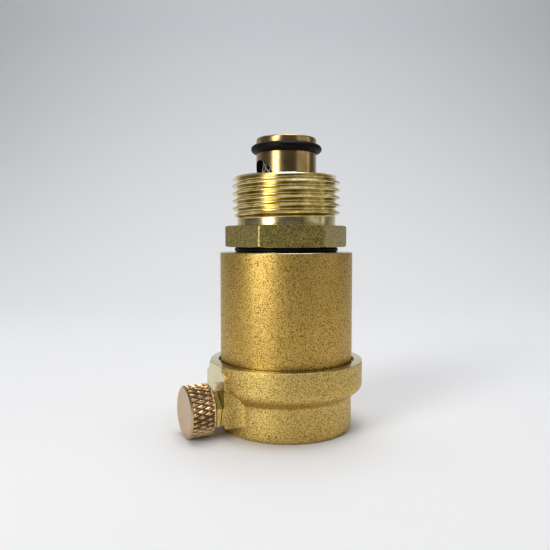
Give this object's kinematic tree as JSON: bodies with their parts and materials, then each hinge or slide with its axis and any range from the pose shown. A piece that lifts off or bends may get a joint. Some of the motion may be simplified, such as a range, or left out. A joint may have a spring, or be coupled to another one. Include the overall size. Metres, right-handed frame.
{
  "type": "automatic air vent",
  "caption": "Brass float-operated automatic air vent with screw-in check-valve fitting, side outlet and knurled vent knob.",
  "frame": {"origin": "centre of the cap's flat foot, on the chamber's axis", "axes": "+Z along the chamber's axis, out through the inlet thread; the vent outlet points 25.8 degrees in front of -X"},
  "size_m": [0.0452, 0.0376, 0.071],
  "materials": {
    "blasted_brass": "fine shot-blasted",
    "machined_brass": "bright turned",
    "knurled_brass": "diamond knurled",
    "copper_alloy": "polished, turned",
    "black_rubber": "moulded",
    "stainless": "plain",
    "float_plastic": "moulded"
  },
  "bodies": {
    "housing": {"float_chamber": "blasted_brass", "vent_cap": "blasted_brass", "cap_seal_ring": "black_rubber", "valve_seat": "machined_brass", "lever_bracket": "stainless", "bracket_screw_1": "stainless", "bracket_screw_2": "stainless", "lever_pin": "stainless", "vent_nipple": "machined_brass"},
    "fitting_lift_ring": {"fitting_seal_ring": "black_rubber"},
    "fitting": {"inlet_fitting": "machined_brass"},
    "plunger": {"plunger_tube": "copper_alloy", "plunger_seal_ring": "black_rubber", "plunger_clip": "stainless", "plunger_spring": "stainless", "filter_mesh": "stainless", "mesh_retainer": "float_plastic"},
    "knob_lift_ring": {"knob_seal": "black_rubber"},
    "knob": {"vent_knob": "knurled_brass"},
    "float": {"float_cup": "float_plastic", "float_lid": "float_plastic", "float_hook": "stainless"},
    "lever": {"lever_arm": "stainless", "valve_pad": "black_rubber", "pad_holder": "stainless"}
  },
  "joints": [
    {"name": "fitting_lift", "type": "slide", "parent": "housing", "child": "fitting_lift_ring", "axis": [0, 0, 1], "range_m": [0, 0.0063]},
    {"name": "fitting_turn", "type": "hinge", "parent": "fitting_lift_ring", "child": "fitting", "pos_m": [0, 0, 0.047], "axis": [0, 0, 1], "range_deg": [0, 1261]},
    {"name": "plunger_travel", "type": "slide", "parent": "fitting_lift_ring", "child": "plunger", "axis": [0, 0, -1], "range_m": [0, 0.0064], "deforming": ["plunger_spring"]},
    {"name": "knob_travel", "type": "slide", "parent": "housing", "child": "knob_lift_ring", "axis": [-0.9004, -0.4351, 0], "range_m": [0, 0.002]},
    {"name": "knob_turn", "type": "hinge", "parent": "knob_lift_ring", "child": "knob", "pos_m": [-0.02116, -0.01023, 0.0063], "axis": [-0.9004, -0.4351, 0], "range_deg": [0, 901]},
    {"name": "float_lift", "type": "slide", "parent": "housing", "child": "float", "axis": [0, 0, 1], "range_m": [0, 0.004]},
    {"name": "lever_swing", "type": "hinge", "parent": "housing", "child": "lever", "pos_m": [0.0054, 0.00261, 0.0119], "axis": [-0.4351, 0.9004, 0], "range_deg": [0, 18.01]}
  ],
  "couplings": [
    {"joint": "fitting_turn", "follows": "fitting_lift", "rad_per_m": 3490.7},
    {"joint": "plunger_travel", "follows": "fitting_lift", "ratio": 1},
    {"joint": "knob_turn", "follows": "knob_travel", "rad_per_m": 7854},
    {"joint": "lever_swing", "follows": "float_lift", "rad_per_m": 78.54}
  ]
}
